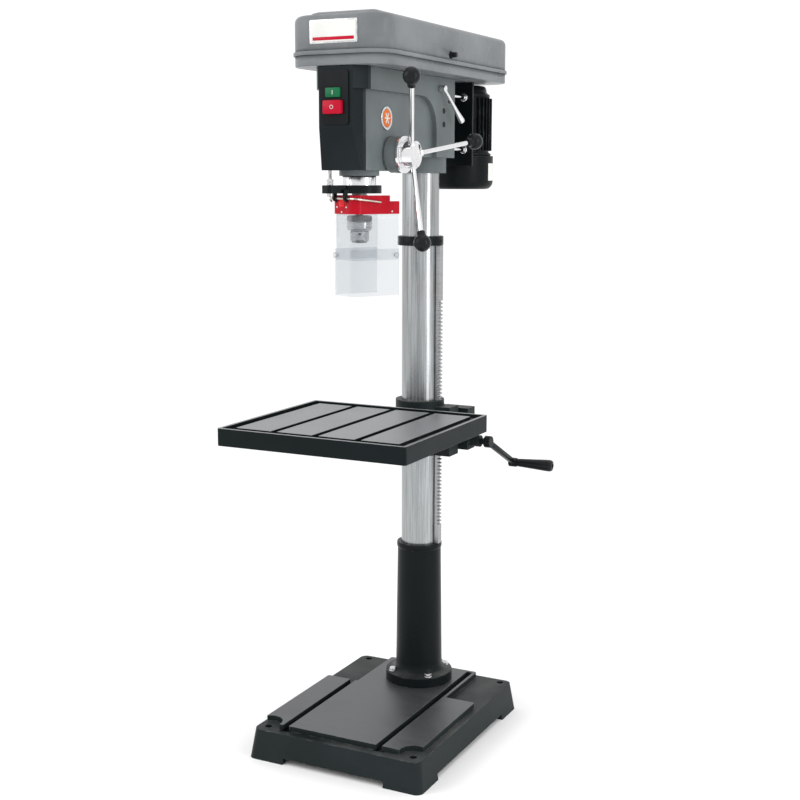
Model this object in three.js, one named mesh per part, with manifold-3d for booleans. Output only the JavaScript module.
// A floor-standing drill press: base, pedestal and column, a head with a belt drive on top, a
// vertical motor behind it, and a rectangular table that climbs the column on a rack.
// Millimetres, +Z up, front of the machine towards -Y. Everything is laid out from the column's
// axis, and the finished group is moved so that the middle of its footprint is the origin.
import * as THREE from 'three';
import * as BufferGeometryUtils from 'three/addons/utils/BufferGeometryUtils.js';
import Module from 'manifold-3d';

// ---------------------------------------------------------------- driving dimensions
const fit = 0.3;              // running clearance between pieces
const fineSides = 32;         // facets round the column and quill
const wideSides = 24;
const roundSides = 18;
const smallSides = 10;

// column, pedestal and base
const columnRadius = 46;
const columnWall = 6;
const columnTop = 1600;
const baseWidth = 460;
const baseFront = 465;        // in front of the column's axis
const baseRear = 115;         // behind it
const baseDraft = 10;         // how far the base's sides lean in
const baseWall = 14;
const deckHeight = 72;
const deckThickness = 22;
const platformHeight = 13;    // ground platform above the deck
const platformLeft = 215;
const platformRight = 203;
const platformFront = 432;
const platformBack = 100;
const platformTailLeft = 128;
const platformTailRight = 124;
const platformTailBack = 95;
const baseSlotLeft = -142;
const baseSlotRight = 108;
const footWidth = 96;
const footLift = 15;          // height of the arch between two feet
const footBoltX = 194;
const footBoltRadius = 9;
const flangeRadius = 86;
const flangeThickness = 24;
const flangeBoltCircle = 71;
const flangeBoltRadius = 5;
const washerRadius = 10.5;
const pedestalTop = 453;
const pedestalWallBottom = 13.5;
const pedestalWallTop = 9.5;
const collarWall = 11;
const collarBottom = 1210;
const collarHeight = 23;

// T-slots
const slotThroat = 16;
const slotUndercut = 28;
const slotThroatDepth = 13;
const slotUndercutDepth = 10;

// rack on the column
const rackWidth = 18;
const rackThickness = 11.4;
const rackModule = 3;
const rackTeeth = 61;
const rackToothDepth = 5;
const rackFirstTooth = 502;

// table and its bracket
const tableWidth = 474;
const tableFront = 557;
const tableBack = 120;
const tableTop = 819;
const tableHeight = 40;
const tablePlate = 30;
const tableRim = 8;
const troughWidth = 23;
const troughDepth = 9;
const tableSlotPitch = 106;
const tableSkirtWall = 12;
const sleeveWall = 15;
const sleeveBottom = 686;
const sleeveTop = 824;
const tiltAxisHeight = 742;
const tiltDiscRadius = 47;
const tiltFace = 95;          // the joint face, in front of the column's axis
const tiltBoltRadius = 8;
const pinionRadius = 14.2;
const liftGearRadius = 30;
const wormRadius = 11;
const wormBack = 72;          // the worm's axis, behind the column's axis
const wormHeight = 713;
const crankPlane = 150;       // the crank arm's inner face, right of the column's axis
const crankLength = 198;
const crankDroop = 26;        // degrees below level, towards the back
const gripLength = 100;

// head
const headHalfWidth = 64;
const headRecess = 12.5;      // how far the lower front is set in on each side
const headBack = 58;
const headTop = 1612.5;
const headBottom = 1390;
const headRearBottom = 1423;
const neckBottom = 1386;
const neckRadius = 62;
const recessTop = 1564;
const recessBack = 45;
const recessCorner = 78;
const spindleFront = 318;     // the spindle's axis, in front of the column's axis
const headFront = spindleFront + 64;
const quillRadius = 38;
const quillBore = 20;
const quillTop = 1555;
const noseRadius = 45;
const noseHeight = 12;
const coverFront = headFront + 44;
const coverChin = headFront + 20;
const coverWall = 3.5;
const coverNarrow = 41;
const chinTop = 1482;

// feed
const feedFront = spindleFront - 52;
const feedHeight = 1426;
const feedShaftRadius = 12;
const feedPinionRadius = 16;
const feedHousingRadius = 41;
const feedHousingEnd = 84;
const feedRingRadius = 42;
const feedRingWidth = 7;
const feedHubRadius = 31;
const feedHubEnd = 119;
const feedArmReach = 208;
const feedArmRise = 64;
const feedArmRadius = 5.5;
const feedKnobRadius = 19.5;
const feedArmAngles = [-39, 81, 201];

// belt cover, pulleys and motor
const trayHalfWidth = 122;
const trayFront = spindleFront + 113;
const trayBack = 286;
const trayCorner = 58;
const trayBottom = 1613;
const trayHeight = 23;
const sheet = 3;
const lidTop = 1722;
const domeHeight = 10;
const beadWidth = 4;
const beadHeight = 7;
const hingeOut = 8;
const grooveHeight = 16;
const pulleyBottom = 1650;
const grooveDepth = 9;
const spindleSteps = [50, 65, 80, 95];
const centreSteps = [95, 80, 65, 50];
const motorSteps = [24, 30, 36, 42];
const beltWidth = 6.4;
const beltThickness = 8;
const beltSink = -1.5;        // how far the belt's back sits below the pulley's rim
const frontBeltStep = 1;
const rearBeltStep = 2;
const centreFront = 50;
const motorBack = 235;
const motorBodyRadius = 74;
const motorFinRadius = 82;
const motorFins = 22;
const motorBellRadius = 66;
const motorFanRadius = 86;
const motorFanBottom = 1346;
const motorFanTop = 1431;
const motorFinTop = 1580;
const motorShaftRadius = 9.5;
const motorBellTop = 1608;
const motorPlateFront = 139;
const motorPlateThickness = 7;
const motorPlateHalfWidth = 76;
const motorPlateBottom = 1404;
const slideBarX = 54.5;
const slideBarRadius = 6;
const slideBarHeights = [1445, 1574];

// quill end, chuck and guard
const depthCollarBottom = 1339.3;
const depthCollarHeight = 18;
const depthCollarRadius = 50;
const depthRodX = -36;
const depthRodFront = spindleFront + 70;
const depthRodRadius = 4;
const chuckBottom = 1228;
const chuckTop = 1290;
const chuckBodyRadius = 21.5;
const chuckSleeveRadius = 28.5;
const chuckSleeveBottom = 1256;
const chuckSleeveTop = 1275.5;
const chuckMouth = 8;
const jawRadius = 4.6;
const jawLean = 16;
const guardTurn = -28;        // degrees about the spindle
const guardHalfWidth = 43.7;
const guardFront = 43.7;
const guardBack = 78;
const guardCorner = 18;
const guardSheet = 2.5;
const guardHingeFront = 50;
const guardHingeHeight = 1328;
const guardWireRadius = 2.5;
const guardEarX = 22;
const guardEarWidth = 6;
const guardEarRadius = 7;
const guardBracketTop = 1335;
const guardBracketBottom = 1293.5;
const upperShieldTop = 1319;
const upperShieldBottom = 1190;
const lowerShieldTop = 1215;
const lowerShieldBottom = 1109.5;

// ---------------------------------------------------------------- materials
const finish = (color, roughness, metalness = 0) =>
  new THREE.MeshStandardMaterial({ color, roughness, metalness });
const darkPaint = finish(0x3c4242, 0.5);
const blackPaint = finish(0x22282a, 0.5);
const greyPaint = finish(0x6c7270, 0.45);
const silverPaint = finish(0x87898a, 0.4);
const brushedSteel = finish(0x9a9c9e, 0.35, 0.9);
const chromeSteel = finish(0xd0d2d4, 0.15, 1);
const blackPlastic = finish(0x15171a, 0.35);
const redPaint = finish(0xc20a23, 0.4);
const greenPlastic = finish(0x145f3c, 0.4);
const redPlastic = finish(0xaa0f28, 0.4);
const clearPlastic = new THREE.MeshStandardMaterial({
  color: 0xdfe4e6, roughness: 0.1, transparent: true, opacity: 0.4 });
const beltRubber = finish(0x1a1a1a, 0.8);

// ---------------------------------------------------------------- solids and booleans
const wasm = await Module();
wasm.setup();

// A geometry with its shared vertices merged, ready to be a closed solid.
function merged(geometry) {
  const bare = geometry.index ? geometry.toNonIndexed() : geometry.clone();
  bare.deleteAttribute('normal');
  bare.deleteAttribute('uv');
  return BufferGeometryUtils.mergeVertices(bare, 1e-4);
}

function toSolid(geometry) {
  const clean = merged(geometry);
  return new wasm.Manifold(new wasm.Mesh({
    numProp: 3,
    vertProperties: new Float32Array(clean.attributes.position.array),
    triVerts: new Uint32Array(clean.index.array),
  }));
}

function toGeometry(solid) {
  const mesh = solid.getMesh();
  const geometry = new THREE.BufferGeometry();
  geometry.setAttribute('position', new THREE.BufferAttribute(mesh.vertProperties, 3));
  geometry.setIndex(new THREE.BufferAttribute(mesh.triVerts, 1));
  return geometry;
}

const join = (first, ...others) =>
  toGeometry(others.reduce((solid, other) => solid.add(toSolid(other)), toSolid(first)));
const cut = (first, ...tools) =>
  toGeometry(tools.reduce((solid, tool) => solid.subtract(toSolid(tool)), toSolid(first)));
const common = (first, second) => toGeometry(toSolid(first).intersect(toSolid(second)));

// ---------------------------------------------------------------- basic shapes
const radians = THREE.MathUtils.degToRad;

function box(x0, x1, y0, y1, z0, z1) {
  return new THREE.BoxGeometry(x1 - x0, y1 - y0, z1 - z0)
    .translate((x0 + x1) / 2, (y0 + y1) / 2, (z0 + z1) / 2);
}

function cylinderZ(radius, x, y, z0, z1, sides = roundSides) {
  return new THREE.CylinderGeometry(radius, radius, z1 - z0, sides)
    .rotateX(Math.PI / 2).translate(x, y, (z0 + z1) / 2);
}

function cylinderX(radius, x0, x1, y, z, sides = roundSides) {
  return new THREE.CylinderGeometry(radius, radius, x1 - x0, sides)
    .rotateZ(Math.PI / 2).translate((x0 + x1) / 2, y, z);
}

function cylinderY(radius, y0, y1, x, z, sides = roundSides) {
  return new THREE.CylinderGeometry(radius, radius, y1 - y0, sides)
    .translate(x, (y0 + y1) / 2, z);
}

// A profile of [radius, height] points turned about a vertical axis at (x, y).
function turned(profile, x = 0, y = 0, sides = wideSides) {
  const points = profile.map(([radius, height]) => new THREE.Vector2(radius, height));
  const geometry = new THREE.LatheGeometry(points, sides);
  return geometry.rotateX(Math.PI / 2).translate(x, y, 0);
}

// A closed ring profile for the lathe, from an outline that doesn't touch the axis.
const closed = (profile) => [...profile, profile[0]];

function outline(points) {
  const shape = new THREE.Shape();
  points.forEach(([x, y], index) => (index ? shape.lineTo(x, y) : shape.moveTo(x, y)));
  shape.closePath();
  return shape;
}

function roundedRectangle(x0, x1, y0, y1, radius) {
  const shape = new THREE.Shape();
  shape.moveTo(x0 + radius, y0);
  shape.lineTo(x1 - radius, y0);
  shape.absarc(x1 - radius, y0 + radius, radius, -Math.PI / 2, 0);
  shape.lineTo(x1, y1 - radius);
  shape.absarc(x1 - radius, y1 - radius, radius, 0, Math.PI / 2);
  shape.lineTo(x0 + radius, y1);
  shape.absarc(x0 + radius, y1 - radius, radius, Math.PI / 2, Math.PI);
  shape.lineTo(x0, y0 + radius);
  shape.absarc(x0 + radius, y0 + radius, radius, Math.PI, Math.PI * 1.5);
  return shape;
}

function raised(shape, z0, z1, curveSegments = 5) {
  return new THREE.ExtrudeGeometry(shape, { depth: z1 - z0, bevelEnabled: false, curveSegments })
    .translate(0, 0, z0);
}

// An outline drawn in Y and Z, carried along X.
function alongX(shape, x0, x1, curveSegments = 5) {
  return new THREE.ExtrudeGeometry(shape, { depth: x1 - x0, bevelEnabled: false, curveSegments })
    .rotateY(Math.PI / 2).rotateX(Math.PI / 2).translate(x0, 0, 0);
}

// An outline drawn in X and Z, carried along Y.
function alongY(shape, y0, y1, curveSegments = 5) {
  return new THREE.ExtrudeGeometry(shape, { depth: y1 - y0, bevelEnabled: false, curveSegments })
    .rotateX(Math.PI / 2).translate(0, y1, 0);
}

// Leans the sides of a shape inwards, by inset at the height top.
function drafted(geometry, bottom, top, inset, middleY) {
  const position = geometry.attributes.position;
  for (let i = 0; i < position.count; i += 1) {
    const share = (position.getZ(i) - bottom) / (top - bottom);
    const x = position.getX(i);
    const y = position.getY(i) - middleY;
    position.setX(i, x - Math.sign(x) * inset * share);
    position.setY(i, y - Math.sign(y) * inset * share + middleY);
  }
  return geometry;
}

const machine = new THREE.Group();

function piece(name, geometry, material, parent = machine) {
  const mesh = new THREE.Mesh(merged(geometry), material);
  mesh.name = name;
  parent.add(mesh);
  return mesh;
}

// ---------------------------------------------------------------- base, pedestal, column
const platformTop = deckHeight + platformHeight;
const flangeBottom = platformTop + fit;
const flangeTop = flangeBottom + flangeThickness;

function slotCutter(x, y0, y1, top) {
  return join(
    box(x - slotThroat / 2, x + slotThroat / 2, y0, y1, top - slotThroatDepth - 1, top + 5),
    box(x - slotUndercut / 2, x + slotUndercut / 2, y0, y1,
      top - slotThroatDepth - slotUndercutDepth, top - slotThroatDepth));
}

const boltCircle = [45, 135, 225, 315].map((angle) => [
  flangeBoltCircle * Math.cos(radians(angle)), flangeBoltCircle * Math.sin(radians(angle))]);

const footBolts = [-1, 1].flatMap((side) => [
  [side * footBoltX, 38 - baseFront], [side * footBoltX, baseRear - 29]]);

function baseCasting() {
  const half = baseWidth / 2;
  const middleY = (baseRear - baseFront) / 2;
  const outer = drafted(
    raised(roundedRectangle(-half, half, -baseFront, baseRear, 18), 0, deckHeight),
    0, deckHeight, baseDraft, middleY);
  const hollow = drafted(
    raised(roundedRectangle(baseWall - half, half - baseWall, baseWall - baseFront,
      baseRear - baseWall, 12), -1, deckHeight - deckThickness),
    0, deckHeight, baseDraft, middleY);
  const platform = raised(roundedRectangle(
    -platformLeft, platformRight, -platformFront, -platformBack, 6), deckHeight - 1, platformTop);
  const tail = raised(roundedRectangle(
    -platformTailLeft, platformTailRight, -platformBack - 30, platformTailBack, 6),
    deckHeight - 1, platformTop);
  const boltHoles = footBolts.map(([x, y]) =>
    cylinderZ(footBoltRadius, x, y, -1, platformTop + 1, roundSides));
  const reliefs = footBolts.map(([x, y]) =>
    cylinderZ(34, x, y, deckHeight, platformTop + 1, roundSides));
  const flangeHoles = boltCircle.map(([x, y]) =>
    cylinderZ(flangeBoltRadius + fit, x, y, deckHeight - 10, platformTop + 1, smallSides));
  const archX = box(-half - 5, half + 5, footWidth - baseFront, baseRear - footWidth, -1, footLift);
  const archY = box(footWidth - half, half - footWidth, -baseFront - 5, baseRear + 5, -1, footLift);
  return cut(join(cut(outer, hollow), platform, tail), ...reliefs, ...boltHoles, ...flangeHoles,
    archX, archY,
    slotCutter(baseSlotLeft, -platformFront - 5, -platformBack + 5, platformTop),
    slotCutter(baseSlotRight, -platformFront - 5, platformTailBack - 10, platformTop));
}

function columnPedestal() {
  const seat = flangeBottom + 7;
  const bottomRadius = columnRadius + pedestalWallBottom;
  const topRadius = columnRadius + pedestalWallTop;
  const body = turned(closed([
    [columnRadius - columnWall, flangeBottom], [flangeRadius, flangeBottom],
    [flangeRadius, flangeTop], [bottomRadius + 12, flangeTop + 3],
    [bottomRadius + 3, flangeTop + 11], [bottomRadius, flangeTop + 24],
    [topRadius, pedestalTop - 14], [topRadius + 2, pedestalTop - 12],
    [topRadius + 2, pedestalTop], [columnRadius + fit, pedestalTop],
    [columnRadius + fit, seat], [columnRadius - columnWall, seat]]), 0, 0, fineSides);
  const boltHoles = boltCircle.map(([x, y]) => join(
    cylinderZ(flangeBoltRadius + fit, x, y, flangeBottom - 1, flangeTop + 1, smallSides),
    cylinderZ(washerRadius + 1, x, y, flangeTop, flangeTop + 30)));
  return cut(body, ...boltHoles);
}

function flangeBolt(x, y) {
  return join(cylinderZ(flangeBoltRadius, x, y, deckHeight - 8, flangeTop + 3, smallSides),
    cylinderZ(washerRadius, x, y, flangeTop + fit, flangeTop + fit + 2, roundSides),
    cylinderZ(9, x, y, flangeTop + fit + 1, flangeTop + fit + 9, 6));
}

function columnTube() {
  const inner = columnRadius - columnWall;
  const bottom = flangeBottom + 7 + fit;
  return turned(closed([[inner, bottom], [columnRadius, bottom], [columnRadius, columnTop],
    [inner, columnTop]]), 0, 0, fineSides);
}

function rackCollar() {
  const ring = turned(closed([
    [columnRadius + fit, collarBottom], [columnRadius + collarWall, collarBottom],
    [columnRadius + collarWall, collarBottom + collarHeight - 2],
    [columnRadius + collarWall - 2, collarBottom + collarHeight],
    [columnRadius + fit, collarBottom + collarHeight]]), 0, 0, fineSides);
  const screw = cylinderX(4, columnRadius + collarWall - 3, columnRadius + collarWall + 2, 0,
    collarBottom + collarHeight / 2, smallSides);
  return join(ring, screw);
}

piece('base_casting', baseCasting(), darkPaint);
piece('column_pedestal', columnPedestal(), blackPaint);
boltCircle.forEach(([x, y], index) =>
  piece(`flange_bolt_${index + 1}`, flangeBolt(x, y), chromeSteel));
piece('column_tube', columnTube(), brushedSteel);
piece('rack_collar', rackCollar(), blackPaint);

// ---------------------------------------------------------------- rack, bracket and table
const rackBack = columnRadius + 0.6;
const rackTip = rackBack + rackThickness;
const sleeveRadius = columnRadius + sleeveWall;
const pinionX = rackTip + 0.8 + pinionRadius;
const tiltGap = tiltFace + 0.6;

function tableRack() {
  const pitch = rackModule * Math.PI;
  const points = [[rackBack, pedestalTop + fit], [rackTip, pedestalTop + fit]];
  for (let tooth = 0; tooth < rackTeeth; tooth += 1) {
    const start = rackFirstTooth + tooth * pitch;
    points.push([rackTip, start], [rackTip - rackToothDepth, start + pitch * 0.2],
      [rackTip - rackToothDepth, start + pitch * 0.5], [rackTip, start + pitch * 0.7]);
  }
  points.push([rackTip, collarBottom - fit], [rackBack, collarBottom - fit]);
  return alongY(outline(points), -rackWidth / 2, rackWidth / 2);
}

function tableBracket() {
  const sleeve = cylinderZ(sleeveRadius, 0, 0, sleeveBottom, sleeveTop, fineSides);
  const rackHousing = box(20, pinionX + pinionRadius + 8, -26, 26, sleeveBottom, sleeveTop - 14);
  const gearbox = box(pinionX - liftGearRadius - 8, pinionX + liftGearRadius + 8, wormBack - 21,
    wormBack + 21, wormHeight - 22, tiltAxisHeight + 56);
  const bridge = box(27, pinionX + 10, 0, wormBack, wormHeight - 22, tiltAxisHeight + 40);
  const wormBoss = cylinderX(15, pinionX + 20, crankPlane - 12, wormBack, wormHeight, roundSides);
  const tiltBoss = cylinderY(tiltDiscRadius, -tiltFace, -20, 0, tiltAxisHeight, wideSides);
  const ears = box(-16, 16, 40, 96, tiltAxisHeight - 18, tiltAxisHeight + 36);
  const solid = join(sleeve, rackHousing, gearbox, bridge, wormBoss, tiltBoss, ears);
  return cut(solid,
    cylinderZ(columnRadius + fit, 0, 0, sleeveBottom - 5, sleeveTop + 5, fineSides),
    box(30, rackTip + 0.8, -rackWidth / 2 - 0.6, rackWidth / 2 + 0.6, sleeveBottom - 5,
      sleeveTop + 5),
    cylinderY(pinionRadius + 2.3, -18, wormBack - 10, pinionX, tiltAxisHeight + 13, roundSides),
    cylinderY(liftGearRadius + 2, wormBack - 15, wormBack + 15, pinionX, tiltAxisHeight + 13, wideSides),
    cylinderX(wormRadius + 2, pinionX - 30, pinionX + 30, wormBack, wormHeight, roundSides),
    cylinderX(8 + fit, pinionX - 30, crankPlane + 5, wormBack, wormHeight, roundSides),
    box(-2, 2, 30, 110, sleeveBottom - 5, sleeveTop + 5),
    cylinderX(6 + fit, -20, 20, 80, tiltAxisHeight + 9, roundSides),
    cylinderY(tiltBoltRadius + fit, -tiltFace - 5, -52, 0, tiltAxisHeight, roundSides));
}

function bracketLock() {
  const lever = cylinderZ(5, -34, 80, tiltAxisHeight + 9, tiltAxisHeight + 74, smallSides);
  const knob = new THREE.SphereGeometry(11, 12, 8)
    .translate(-34, 80, tiltAxisHeight + 80);
  return join(cylinderX(6, -42, 22, 80, tiltAxisHeight + 9, roundSides),
    cylinderX(10, -42, -26, 80, tiltAxisHeight + 9, roundSides),
    cylinderX(10, 17, 25, 80, tiltAxisHeight + 9, 6), lever, knob);
}

function toothedDisc(teeth, tip, root, y0, y1, x, z) {
  const points = [];
  for (let tooth = 0; tooth < teeth; tooth += 1) {
    [[0, root], [0.25, tip], [0.5, tip], [0.75, root]].forEach(([share, radius]) => {
      const angle = ((tooth + share) / teeth) * Math.PI * 2;
      points.push([radius * Math.cos(angle), radius * Math.sin(angle)]);
    });
  }
  return alongY(outline(points), y0, y1).translate(x, 0, z);
}

function liftGear() {
  const height = tiltAxisHeight + 13;
  return join(toothedDisc(9, pinionRadius, pinionRadius - 4, -16, wormBack - 10, pinionX, height),
    toothedDisc(20, liftGearRadius, liftGearRadius - 3, wormBack - 13, wormBack + 13, pinionX,
      height));
}

const crankEnd = [
  crankPlane + 7,
  wormBack + crankLength * Math.cos(radians(crankDroop)),
  wormHeight - crankLength * Math.sin(radians(crankDroop))];

function crankArm() {
  const shaft = cylinderX(8, pinionX - 28, crankPlane + 12, wormBack, wormHeight, roundSides);
  const worm = cylinderX(wormRadius, pinionX - 26, pinionX + 26, wormBack, wormHeight, roundSides);
  const hub = cylinderX(15, crankPlane, crankPlane + 17, wormBack, wormHeight, roundSides);
  const arm = box(crankPlane + 2, crankPlane + 13, 0, crankLength, -7, 7)
    .rotateX(radians(-crankDroop)).translate(0, wormBack, wormHeight);
  const eye = cylinderX(12, crankPlane - 4, crankPlane + 17, crankEnd[1], crankEnd[2], roundSides);
  const pin = cylinderX(5, crankPlane + 10, crankPlane + 19 + gripLength, crankEnd[1],
    crankEnd[2], 20);
  return join(shaft, worm, hub, arm, eye, pin);
}

function crankGrip() {
  const bore = 5 + fit;
  return turned(closed([[bore, 0], [10, 0], [11, 8], [13, 50], [15.5, gripLength - 14],
    [15.5, gripLength - 5], [12, gripLength], [bore, gripLength]]), 0, 0, roundSides)
    .rotateY(Math.PI / 2).translate(crankPlane + 17.4, crankEnd[1], crankEnd[2]);
}

function tableCasting() {
  const half = tableWidth / 2;
  const middleY = -(tableFront + tableBack) / 2;
  const halfDepth = (tableFront - tableBack) / 2;
  const bottom = tableTop - tableHeight;
  const under = tableTop - tablePlate;
  const inset = tableRim + troughWidth;
  const plan = (margin, radius) => roundedRectangle(margin - half, half - margin,
    middleY - halfDepth + margin, middleY + halfDepth - margin, radius);
  const slab = raised(plan(0, 6), bottom, tableTop);
  const hollow = raised(plan(tableSkirtWall, 3), bottom - 5, under);
  const trough = cut(raised(plan(tableRim, 3), tableTop - troughDepth, tableTop + 5),
    raised(plan(inset, 2), tableTop - troughDepth - 1, tableTop + 6));
  const skim = raised(plan(tableRim, 3), tableTop - 1.5, tableTop + 5);
  const slots = [-1, 0, 1].map((step) => slotCutter(step * tableSlotPitch,
    middleY - halfDepth + inset - 6, middleY + halfDepth - inset + 6, tableTop - 1.5));
  const arm = box(-42, 42, -tiltGap - 190, -tiltGap - 22, tiltAxisHeight - 20, under + 2);
  const disc = cylinderY(tiltDiscRadius - 1, -tiltGap - 24, -tiltGap, 0, tiltAxisHeight, wideSides);
  const neck = box(-30, 30, -tiltGap - 24, -tableBack - 1, tiltAxisHeight, bottom + 4);
  return cut(join(cut(slab, hollow), arm, disc, neck), trough, skim, ...slots,
    cylinderY(tiltBoltRadius + fit, -tiltGap - 60, -tiltGap + 5, 0, tiltAxisHeight, roundSides),
    cylinderY(19, -tiltGap - 200, -tiltGap - 22, 0, tiltAxisHeight, roundSides));
}

function tiltBolt() {
  return join(cylinderY(tiltBoltRadius, -tiltGap - 30, -54, 0, tiltAxisHeight, roundSides),
    cylinderY(15, -tiltGap - 26, -tiltGap - 22 - fit, 0, tiltAxisHeight, roundSides),
    cylinderY(13, -tiltGap - 38, -tiltGap - 25, 0, tiltAxisHeight, 6));
}

piece('table_rack', tableRack(), brushedSteel);
piece('table_bracket', tableBracket(), darkPaint);
piece('bracket_lock', bracketLock(), blackPlastic);
piece('lift_gear', liftGear(), brushedSteel);
piece('crank_arm', crankArm(), blackPaint);
piece('crank_grip', crankGrip(), blackPlastic);
piece('table', tableCasting(), darkPaint);
piece('tilt_bolt', tiltBolt(), chromeSteel);

// ---------------------------------------------------------------- head
const recessHalfWidth = headHalfWidth - headRecess;
const spindleY = -spindleFront;
const feedY = -feedFront;
const centreY = -centreFront - 8;

// The cutter for one side of the recess, with its arched upper rear corner.
function recessCutter(side) {
  const shape = new THREE.Shape();
  shape.moveTo(-headFront - 5, headBottom - 20);
  shape.lineTo(-recessBack, headBottom - 20);
  shape.lineTo(-recessBack, recessTop - recessCorner);
  shape.absarc(-recessBack - recessCorner, recessTop - recessCorner, recessCorner, 0,
    Math.PI / 2);
  shape.lineTo(-headFront - 5, recessTop);
  shape.closePath();
  const near = Math.min(side * recessHalfWidth, side * (headHalfWidth + 5));
  const far = Math.max(side * recessHalfWidth, side * (headHalfWidth + 5));
  return alongX(shape, near, far, 10);
}

function headCasting() {
  const profile = outline([
    [-headFront, headBottom], [-headFront, headTop], [headBack, headTop],
    [headBack, headRearBottom], [122 - spindleFront, headRearBottom], [96 - spindleFront, headBottom]]);
  const block = alongX(profile, -headHalfWidth, headHalfWidth);
  const neck = cylinderZ(neckRadius, 0, 0, neckBottom, headRearBottom + 2, fineSides);
  const nose = cylinderZ(noseRadius, 0, spindleY, headBottom - noseHeight, headBottom + 2, wideSides);
  const feedBoss = cylinderX(feedHousingRadius - 4, -recessHalfWidth - 6, recessHalfWidth + 4,
    feedY, feedHeight, wideSides);
  const bars = slideBarHeights.flatMap((height) => [
    cylinderY(slideBarRadius + fit, -42, headBack + 5, slideBarX, height, roundSides)]);
  return cut(join(cut(block, recessCutter(1), recessCutter(-1)), neck, nose, feedBoss),
    cylinderZ(columnRadius + fit, 0, 0, neckBottom - 5, columnTop + fit, fineSides),
    cylinderZ(quillRadius + fit, 0, spindleY, headBottom - noseHeight - 5, quillTop + 4, fineSides),
    cylinderZ(24, 0, spindleY, quillTop, headTop + 5, wideSides),
    cylinderX(feedShaftRadius + fit, -headHalfWidth - 30, headHalfWidth + 30, feedY, feedHeight),
    cylinderX(feedPinionRadius + 1, -20, 20, feedY, feedHeight),
    cylinderZ(12 + fit, 0, centreY, headTop - 40, headTop + 5, roundSides),
    ...bars);
}

// The front cover's outline from above, at a margin inside its outer face.
function coverPlan(halfWidth, narrow, margin) {
  const side = halfWidth - margin;
  const back = margin ? -headFront + 20 : -headFront - fit;
  return outline([[-side, back], [-side, -headFront - 13], [-narrow + margin, -coverFront + margin],
    [narrow - margin, -coverFront + margin], [side, -headFront - 13], [side, back]]);
}

function coverProfile(margin) {
  const bottom = margin ? headBottom - 10 : headBottom;
  return alongX(outline([[-coverChin + margin, bottom], [-coverFront + margin, chinTop],
    [-coverFront + margin, headTop - margin], [40 - headFront, headTop - margin],
    [40 - headFront, bottom]]), -100, 100);
}

const startPlace = { x: -3, z: 1555.5, width: 36, height: 21, out: coverFront + 8 };
const stopPlace = { x: -2, z: 1524.5, width: 45, height: 29, out: coverFront + 14 };
const switchBack = coverFront - 12;

function buttonHole({ x, z, width, height }) {
  return box(x - width / 2 - 0.5, x + width / 2 + 0.5, -coverFront - 24, -switchBack + 3,
    z - height / 2 - 0.5, z + height / 2 + 0.5);
}

function headFrontCover() {
  const shell = (margin) => {
    const upper = raised(coverPlan(headHalfWidth, coverNarrow + 2, margin), recessTop + margin / 2,
      headTop + 5);
    const lower = raised(coverPlan(recessHalfWidth, coverNarrow, margin), headBottom - 20,
      recessTop + 1 + margin);
    return common(join(upper, lower), coverProfile(margin));
  };
  return cut(shell(0), shell(coverWall), buttonHole(startPlace), buttonHole(stopPlace));
}

function switchPlate() {
  const plate = alongY(roundedRectangle(-33.5, 33.5, 1487, 1603, 6), -coverFront - 3.7,
    -coverFront - fit);
  return cut(plate, buttonHole(startPlace), buttonHole(stopPlace));
}

function button({ x, z, width, height, out }) {
  return alongY(roundedRectangle(x - width / 2, x + width / 2, z - height / 2,
    z + height / 2, 2), -out, -switchBack);
}

function feedHousing() {
  return turned(closed([[feedShaftRadius + 1, recessHalfWidth + 4 + fit],
    [feedHousingRadius, recessHalfWidth + 4 + fit], [feedHousingRadius, feedHousingEnd],
    [feedShaftRadius + 1, feedHousingEnd]]), 0, 0, wideSides)
    .rotateY(Math.PI / 2).translate(0, feedY, feedHeight);
}

function springHousing() {
  const start = recessHalfWidth + 6 + fit;
  return turned([[0, start + 26], [24, start + 26], [30, start + 23], [36, start + 16],
    [36, start], [feedShaftRadius + 1, start], [feedShaftRadius + 1, start + 20],
    [0, start + 20]].reverse(), 0, 0, wideSides)
    .rotateY(-Math.PI / 2).translate(0, feedY, feedHeight);
}

piece('head_casting', headCasting(), greyPaint);
piece('head_front_cover', headFrontCover(), blackPlastic);
piece('switch_plate', switchPlate(), blackPlastic);
piece('start_button', button(startPlace), greenPlastic);
piece('stop_button', button(stopPlace), redPlastic);
piece('feed_housing', feedHousing(), greyPaint);
piece('spring_housing', springHousing(), blackPaint);

// ---------------------------------------------------------------- feed hub, arms and knobs
function feedHub() {
  const shaft = cylinderX(feedShaftRadius, -recessHalfWidth - 18, feedHousingEnd + 10, feedY,
    feedHeight, roundSides);
  const pinion = cylinderX(feedPinionRadius - 0.6, -18, 18, feedY, feedHeight, roundSides);
  const ring = cylinderX(feedRingRadius, feedHousingEnd + fit, feedHousingEnd + feedRingWidth,
    feedY, feedHeight, wideSides);
  const hub = cylinderX(feedHubRadius, feedHousingEnd + feedRingWidth - 1, feedHubEnd, feedY,
    feedHeight, wideSides);
  const sockets = feedArmAngles.map((angle) => feedArm(angle, feedArmRadius + fit, 14));
  return cut(join(shaft, pinion, ring, hub), ...sockets);
}

// A straight bar from near the hub's axis out to its knob, leaning away from the machine.
function feedArm(angle, radius, start) {
  const length = Math.hypot(feedArmReach, feedArmRise);
  const lean = Math.atan2(feedArmRise, feedArmReach);
  return cylinderZ(radius, 0, 0, start, length - 12, smallSides)
    .rotateY(lean).rotateX(radians(-angle)).translate(feedHubEnd - 13, feedY, feedHeight);
}

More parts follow.
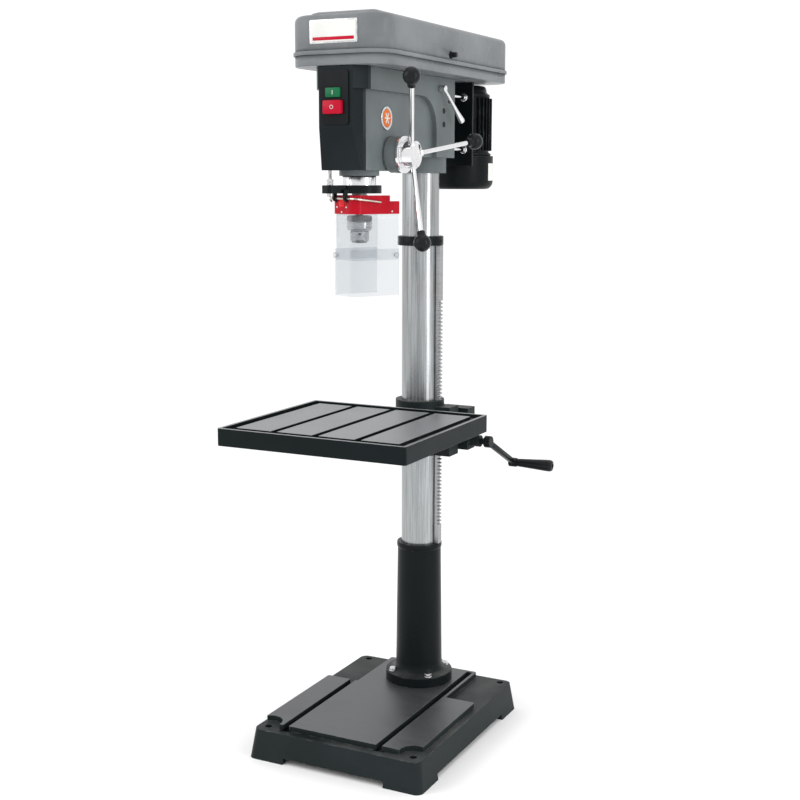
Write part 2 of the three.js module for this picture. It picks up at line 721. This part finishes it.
function feedKnob(angle) {
  const length = Math.hypot(feedArmReach, feedArmRise);
  const lean = Math.atan2(feedArmRise, feedArmReach);
  const ball = new THREE.SphereGeometry(feedKnobRadius, 18, 10).translate(0, 0, length);
  const collar = cylinderZ(9.5, 0, 0, length - 27, length - 8, smallSides);
  return cut(join(ball, collar), cylinderZ(feedArmRadius + fit, 0, 0, length - 40, length - 11, smallSides))
    .rotateY(lean).rotateX(radians(-angle)).translate(feedHubEnd - 13, feedY, feedHeight);
}

piece('feed_hub', feedHub(), chromeSteel);
feedArmAngles.forEach((angle, index) => {
  piece(`feed_arm_${index + 1}`, feedArm(angle, feedArmRadius, 15), chromeSteel);
  piece(`feed_knob_${index + 1}`, feedKnob(angle), blackPlastic);
});

// ---------------------------------------------------------------- quill, spindle and chuck
const quillBottom = depthCollarBottom;

function quillTube() {
  const tube = turned(closed([[quillBore, quillBottom], [quillRadius, quillBottom],
    [quillRadius, quillTop], [quillBore, quillTop]]), 0, spindleY, fineSides);
  const rackFlat = box(-10, 10, spindleY + quillRadius - 4, spindleY + quillRadius + 5,
    headBottom + 5, quillTop + 5);
  return cut(tube, rackFlat);
}

// One ear under the depth collar that carries the guard's hinge wire, drawn facing -Y.
function guardEar(x) {
  const near = x - guardEarWidth / 2;
  const far = x + guardEarWidth / 2;
  const front = -guardHingeFront;
  return cut(join(cylinderX(guardEarRadius, near, far, front, guardHingeHeight),
    box(near, far, front - guardEarRadius, front + 2.6, guardHingeHeight, depthCollarBottom + 6),
    box(near, far, front - guardEarRadius, front + 14, depthCollarBottom + 1,
      depthCollarBottom + 8)),
  box(near - 1, far + 1, front + 2.6, front + 20, guardHingeHeight - 10, depthCollarBottom),
  cylinderX(guardWireRadius + 0.5, near - 1, far + 1, front, guardHingeHeight, smallSides));
}

function depthCollar() {
  const dx = depthRodX;
  const dy = -depthRodFront - spindleY;
  const reach = Math.hypot(dx, dy);
  const turn = Math.atan2(dx, -dy);
  const top = depthCollarBottom + depthCollarHeight;
  const ring = cylinderZ(depthCollarRadius, 0, spindleY, depthCollarBottom, top, wideSides);
  const arm = raised(roundedRectangle(-17, 17, -reach - 14, 0, 8), depthCollarBottom, top)
    .rotateZ(turn).translate(0, spindleY, 0);
  const ears = [-guardEarX, guardEarX].map((x) => guardEar(x).rotateZ(radians(guardTurn))
    .translate(0, spindleY, 0));
  return cut(join(ring, arm, ...ears),
    cylinderZ(quillRadius + fit, 0, spindleY, depthCollarBottom - 5, top + 5, fineSides),
    cylinderZ(depthRodRadius + fit, depthRodX, -depthRodFront, depthCollarBottom - 5, top + 5, smallSides));
}

function depthRod() {
  const bottom = depthCollarBottom - 8;
  const collarTop = depthCollarBottom + depthCollarHeight;
  return join(cylinderZ(depthRodRadius, depthRodX, -depthRodFront, bottom, 1556, smallSides),
    cylinderZ(7.5, depthRodX, -depthRodFront, bottom + 1.5, depthCollarBottom - fit, 6),
    cylinderZ(7.5, depthRodX, -depthRodFront, collarTop + fit, collarTop + 6, 6));
}

function spindleShaft() {
  const shaftTop = pulleyBottom + spindleSteps.length * grooveHeight - 2;
  return turned([[0, chuckTop + fit], [9, chuckTop + fit], [10, 1322], [quillBore - 3, 1324],
    [quillBore - 3, quillTop - 8], [12, quillTop - 6], [12, shaftTop], [0, shaftTop]],
    0, spindleY, roundSides);
}

const jawTurns = [0, 120, 240];

// One jaw's bar, or its bore when it is longer and thicker, leaning in towards the mouth.
function jaw(turn, radius, start, end) {
  return cylinderZ(radius, 0, 0, start, end, smallSides).rotateY(radians(jawLean))
    .translate(chuckMouth + jawRadius + 0.4, 0, chuckBottom)
    .rotateZ(radians(turn)).translate(0, spindleY, 0);
}

function chuckBody() {
  const core = chuckBodyRadius - 1.2;
  const body = turned([[0, chuckBottom], [chuckBodyRadius - 5, chuckBottom],
    [chuckBodyRadius, chuckBottom + 6], [chuckBodyRadius, chuckSleeveBottom - 3],
    [core, chuckSleeveBottom - 2], [core, chuckSleeveTop + fit],
    [chuckSleeveRadius - 0.5, chuckSleeveTop + fit], [chuckSleeveRadius - 0.5, chuckTop - 2],
    [chuckSleeveRadius - 3, chuckTop], [0, chuckTop]], 0, spindleY, roundSides);
  const keyHoles = jawTurns.map((turn) => cylinderX(3.2, 14, 40, 0, chuckBottom + 21, smallSides)
    .rotateZ(radians(turn + 60)).translate(0, spindleY, 0));
  return cut(body, cylinderZ(chuckMouth, 0, spindleY, chuckBottom - 5, chuckBottom + 34, roundSides),
    ...jawTurns.map((turn) => jaw(turn, jawRadius + fit, -10, 32)), ...keyHoles);
}

function chuckSleeve() {
  const inner = chuckBodyRadius - 1.2 + fit;
  const ring = turned(closed([[inner, chuckSleeveBottom + 1], [chuckSleeveRadius - 4, chuckSleeveBottom],
    [chuckSleeveRadius, chuckSleeveBottom + 5], [chuckSleeveRadius, chuckSleeveTop],
    [inner, chuckSleeveTop]]), 0, spindleY, wideSides);
  return ring;
}

piece('quill_tube', quillTube(), brushedSteel);
piece('depth_collar', depthCollar(), blackPaint);
piece('depth_rod', depthRod(), chromeSteel);
piece('spindle_shaft', spindleShaft(), brushedSteel);
piece('chuck_body', chuckBody(), brushedSteel);
piece('chuck_sleeve', chuckSleeve(), chromeSteel);
jawTurns.forEach((turn, index) =>
  piece(`chuck_jaw_${index + 1}`, jaw(turn, jawRadius, 2, 26), brushedSteel));

// ---------------------------------------------------------------- chuck guard
// The guard is drawn facing -Y about the spindle, then turned to its place.
const guard = new THREE.Group();
guard.position.set(0, spindleY, 0);
guard.rotation.z = radians(guardTurn);
machine.add(guard);

// A three-sided band, open at the back; margin grows it outwards from the upper shield.
function guardBand(margin, thickness, z0, z1) {
  const plan = (grow) => roundedRectangle(-guardHalfWidth - grow, guardHalfWidth + grow,
    -guardFront - grow, guardBack + 60, guardCorner + grow);
  const band = cut(raised(plan(margin), z0, z1, 8),
    raised(plan(margin - thickness), z0 - 1, z1 + 1, 8));
  return cut(band, box(-100, 100, guardBack, guardBack + 100, z0 - 2, z1 + 2));
}

function guardBracket() {
  const band = guardBand(guardSheet + fit, guardSheet, guardBracketBottom, guardBracketTop);
  const earGap = guardEarWidth / 2 + 1.2;
  const notches = [-guardEarX, guardEarX].map((x) => box(x - earGap, x + earGap,
    -guardHingeFront, -guardFront + 12, guardHingeHeight - 11, guardBracketTop + 5));
  return cut(band, ...notches, box(-100, 100, guardBack - 26, guardBack + 10,
    guardBracketTop - 13, guardBracketTop + 5));
}

function guardWire() {
  const side = guardHalfWidth + guardSheet + 4.2;
  const front = -guardHingeFront;
  const along = new THREE.CatmullRomCurve3([
    new THREE.Vector3(-side - 2, front + 9, guardHingeHeight - 7),
    new THREE.Vector3(-side + 3, front + 1, guardHingeHeight - 1),
    new THREE.Vector3(-side + 10, front, guardHingeHeight),
    new THREE.Vector3(0, front, guardHingeHeight),
    new THREE.Vector3(side - 10, front, guardHingeHeight),
    new THREE.Vector3(side - 3, front + 1, guardHingeHeight),
    new THREE.Vector3(side + 1, front + 9, guardHingeHeight - 1),
    new THREE.Vector3(side + 1, 24, guardHingeHeight - 8)]);
  const section = new THREE.Shape().absarc(0, 0, guardWireRadius, 0, Math.PI * 2);
  return new THREE.ExtrudeGeometry(section, { steps: 20, curveSegments: 3, extrudePath: along });
}

function shieldScrew(x, y, facing) {
  const shaft = cylinderX(2.5, -3.2, 5, 0, 0, smallSides);
  const head = cylinderX(6, 2.5, 9, 0, 0, 10);
  return join(shaft, head).rotateZ(radians(facing)).translate(x, y, lowerShieldTop - 14);
}

function upperShield() {
  return guardBand(0, guardSheet, upperShieldBottom, upperShieldTop);
}

function lowerShield() {
  const band = guardBand(guardSheet + fit, guardSheet, lowerShieldBottom, lowerShieldTop);
  const side = guardHalfWidth + guardSheet;
  return cut(band, cylinderX(2.5 + fit, side - 5, side + 5, guardBack - 12, lowerShieldTop - 14, smallSides),
    cylinderY(2.5 + fit, -guardFront - 8, -guardFront + 1, -20, lowerShieldTop - 14, smallSides));
}

const screwOut = guardHalfWidth + guardSheet + 1;
piece('guard_bracket', guardBracket(), redPaint, guard);
piece('guard_wire', guardWire(), brushedSteel, guard);
piece('upper_shield', upperShield(), clearPlastic, guard);
piece('lower_shield', lowerShield(), clearPlastic, guard);
piece('shield_screw_1', shieldScrew(screwOut + 3, guardBack - 12, 0), clearPlastic, guard);
piece('shield_screw_2', shieldScrew(-20, -guardFront - guardSheet - 4, -90), clearPlastic, guard);

// ---------------------------------------------------------------- belt cover
const hingeX = -trayHalfWidth - hingeOut;
const hingeZ = trayBottom + trayHeight - 5;
const lidBottom = trayBottom + trayHeight + fit;
const lugPlaces = [-200, 60];

const trayPlan = (margin) => roundedRectangle(margin - trayHalfWidth, trayHalfWidth - margin,
  margin - trayFront, trayBack - margin, trayCorner - margin);

function beltTray() {
  const pan = cut(raised(trayPlan(0), trayBottom, trayBottom + trayHeight, 5),
    raised(trayPlan(sheet), trayBottom + sheet, trayBottom + trayHeight + 5, 5));
  const motorSlot = raised(roundedRectangle(-30, 30, motorBack - 58, motorBack + 34, 30),
    trayBottom - 5, trayBottom + 10);
  const lugs = lugPlaces.map((y) => join(
    cylinderY(6, y, y + 14, hingeX, hingeZ, smallSides),
    box(hingeX, -trayHalfWidth + 1, y, y + 14, hingeZ - 6, hingeZ)));
  const pin = cylinderY(3, lugPlaces[0] - 3, lugPlaces[1] + 31, hingeX, hingeZ, smallSides);
  return cut(join(pan, ...lugs, pin),
    cylinderZ(26, 0, spindleY, trayBottom - 5, trayBottom + 10, wideSides),
    cylinderZ(14, 0, centreY, trayBottom - 5, trayBottom + 10, roundSides), motorSlot);
}

function beltCoverLid() {
  const step = lidTop - 14;
  const stack = (margin, top) => join(
    raised(trayPlan(margin), margin ? lidBottom - 5 : lidBottom, step - margin / 2, 5),
    raised(trayPlan(margin + 5), step - 12, step + 9 - margin / 2, 5),
    raised(trayPlan(margin + 14), step - 12, top - margin, 5),
    raised(trayPlan(margin + 34), step - 12, top + domeHeight - margin, 5));
  const bead = raised(trayPlan(-beadWidth), lidBottom, lidBottom + beadHeight, 5);
  const lugs = lugPlaces.map((y) => join(
    cylinderY(6, y + 14 + fit, y + 28, hingeX, hingeZ, smallSides),
    box(hingeX - 6, hingeX + 6, y + 14 + fit, y + 28, hingeZ, hingeZ + 14),
    box(hingeX - 6, -trayHalfWidth + 1, y + 14 + fit, y + 28, hingeZ + 7, hingeZ + 14)));
  return cut(join(cut(join(stack(0, lidTop), bead), stack(sheet, lidTop)), ...lugs),
    cylinderY(3 + fit, lugPlaces[0] - 5, lugPlaces[1] + 35, hingeX, hingeZ, smallSides),
    cylinderX(4 + fit, trayHalfWidth - 6, trayHalfWidth + 4, -96, lidBottom + 20, smallSides));
}

function lidKnob() {
  const height = lidBottom + 20;
  return join(cylinderX(4, trayHalfWidth - 4, trayHalfWidth + 8, -96, height, smallSides),
    cylinderX(8, trayHalfWidth + fit, trayHalfWidth + 5, -96, height, roundSides),
    cylinderX(6, trayHalfWidth + 4, trayHalfWidth + 17, -96, height, smallSides));
}

piece('belt_tray', beltTray(), silverPaint);
piece('belt_cover_lid', beltCoverLid(), silverPaint);
piece('lid_knob', lidKnob(), blackPlastic);

// ---------------------------------------------------------------- pulleys and belts
const grooveZ = (step) => pulleyBottom + step * grooveHeight;

function stepPulley(steps, y, bore, below) {
  const outside = [];
  steps.forEach((radius, step) => {
    const z = grooveZ(step);
    outside.push([radius, z], [radius, z + 1.5], [radius - grooveDepth, z + 4.5],
      [radius - grooveDepth, z + grooveHeight - 4.5], [radius, z + grooveHeight - 1.5]);
  });
  const top = grooveZ(steps.length);
  const hub = Math.min(bore + 10, Math.min(...steps) - grooveDepth - 1);
  const inside = [[bore, top], [bore, below], [hub, below], [hub, pulleyBottom]];
  return turned(closed([...inside, ...outside]), 0, y, roundSides);
}

// A flat-sided loop round two pulleys: an arc on each, joined by their outer tangents.
function beltLoop(frontY, frontRadius, backY, backRadius, step) {
  const wrap = Math.acos((frontRadius - backRadius) / (backY - frontY));
  const back = Math.PI / 2;
  const loop = (grow) => {
    const shape = new THREE.Shape();
    shape.absarc(0, backY, backRadius + grow, back - wrap, back + wrap);
    shape.absarc(0, frontY, frontRadius + grow, back + wrap, back - wrap + 2 * Math.PI);
    return shape;
  };
  const middle = grooveZ(step) + grooveHeight / 2;
  return cut(raised(loop(0), middle - beltWidth / 2, middle + beltWidth / 2, 9),
    raised(loop(-beltThickness), middle - beltWidth, middle + beltWidth, 9));
}

function motorPulley() {
  const shaft = cylinderZ(motorShaftRadius, 0, motorBack, motorBellTop - 12, grooveZ(4) - 5, roundSides);
  const pulley = stepPulley(motorSteps, motorBack, motorShaftRadius - 0.5, pulleyBottom);
  return join(shaft, pulley);
}

piece('spindle_pulley', stepPulley(spindleSteps, spindleY, 12 + fit, quillTop + 7), brushedSteel);
piece('centre_pulley', stepPulley(centreSteps, centreY, 12 + fit, pulleyBottom - 14), brushedSteel);
piece('centre_post', cylinderZ(12, 0, centreY, headTop - 38, grooveZ(4) + 2, roundSides), brushedSteel);
piece('motor_pulley', motorPulley(), brushedSteel);
piece('front_belt', beltLoop(spindleY, spindleSteps[frontBeltStep] - beltSink, centreY,
  centreSteps[frontBeltStep] - beltSink, frontBeltStep), beltRubber);
piece('rear_belt', beltLoop(centreY, centreSteps[rearBeltStep] - beltSink, motorBack,
  motorSteps[rearBeltStep] - beltSink, rearBeltStep), beltRubber);

// ---------------------------------------------------------------- motor and its mount
const plateBack = motorPlateFront + motorPlateThickness;

function motorPlate() {
  const plate = box(-motorPlateHalfWidth, motorPlateHalfWidth, motorPlateFront, plateBack,
    motorPlateBottom, trayBottom - 2);
  return cut(plate, ...slideBarHeights.map((height) =>
    cylinderY(slideBarRadius + fit, motorPlateFront - 5, plateBack + 5, slideBarX, height, roundSides)));
}

function slideBar(height) {
  return join(
    cylinderY(slideBarRadius, -16, plateBack + 3, slideBarX, height, roundSides),
    cylinderY(10, motorPlateFront - 8, motorPlateFront - fit, slideBarX, height, roundSides));
}

function motorFrame() {
  const body = turned([[0, motorFanTop + fit], [motorBodyRadius, motorFanTop + fit],
    [motorBodyRadius, motorFinTop], [motorBellRadius + 2, motorFinTop + 10],
    [motorBellRadius, motorBellTop - 4], [motorBellRadius - 6, motorBellTop], [0, motorBellTop]],
    0, motorBack, wideSides);
  const fins = [];
  for (let fin = 0; fin < motorFins; fin += 1) {
    const angle = (fin / motorFins) * 360;
    fins.push(box(motorBodyRadius - 3, motorFinRadius, -1.6, 1.6, motorFanTop + 6, motorFinTop - 4)
      .rotateZ(radians(angle)).translate(0, motorBack, 0));
  }
  const foot = box(-58, 58, plateBack + fit, motorBack - 40, motorFanTop + 8, motorFinTop - 8);
  const keepClear = box(-200, 200, 0, plateBack + fit, 1300, 1700);
  return cut(join(body, foot, ...fins), keepClear,
    cylinderZ(10.5, 0, motorBack, motorBellTop - 20, motorBellTop + 5, roundSides),
    ...slideBarHeights.map((height) =>
      cylinderY(slideBarRadius + 1.5, plateBack - 5, plateBack + 6, slideBarX, height, roundSides)));
}

function motorFanCover() {
  const wall = 2.5;
  return turned([[0, motorFanBottom], [motorFanRadius - 18, motorFanBottom],
    [motorFanRadius - 5, motorFanBottom + 5], [motorFanRadius, motorFanBottom + 18],
    [motorFanRadius, motorFanTop], [motorFanRadius - wall, motorFanTop],
    [motorFanRadius - wall, motorFanBottom + 18], [motorFanRadius - 7, motorFanBottom + 8],
    [motorFanRadius - 19, motorFanBottom + wall], [0, motorFanBottom + wall]], 0, motorBack, fineSides);
}

piece('motor_plate', motorPlate(), blackPaint);
slideBarHeights.forEach((height, index) =>
  piece(`slide_bar_${index + 1}`, slideBar(height), brushedSteel));
piece('motor_frame', motorFrame(), blackPaint);
piece('motor_fan_cover', motorFanCover(), blackPaint);

function tensionLever() {
  const pivot = new THREE.Vector3(headHalfWidth + 12, -30, 1585);
  const tip = new THREE.Vector3(headHalfWidth + 32, 34, 1508);
  const direction = tip.clone().sub(pivot);
  const length = direction.length();
  const turn = new THREE.Quaternion().setFromUnitVectors(new THREE.Vector3(0, 0, 1),
    direction.normalize());
  const arm = turned([[0, 0], [4, 0], [4.5, length * 0.5], [7.5, length - 8], [7.5, length - 2],
    [5, length], [0, length]], 0, 0, smallSides).applyQuaternion(turn).translate(...pivot.toArray());
  return join(arm, cylinderX(8.5, headHalfWidth + fit, headHalfWidth + 17, -30, 1585, roundSides));
}

piece('tension_lever', tensionLever(), chromeSteel);

// ---------------------------------------------------------------- footprint to the origin
const footprint = new THREE.Box3().setFromObject(machine);
machine.position.set(-(footprint.min.x + footprint.max.x) / 2,
  -(footprint.min.y + footprint.max.y) / 2, -footprint.min.z);

export default machine;
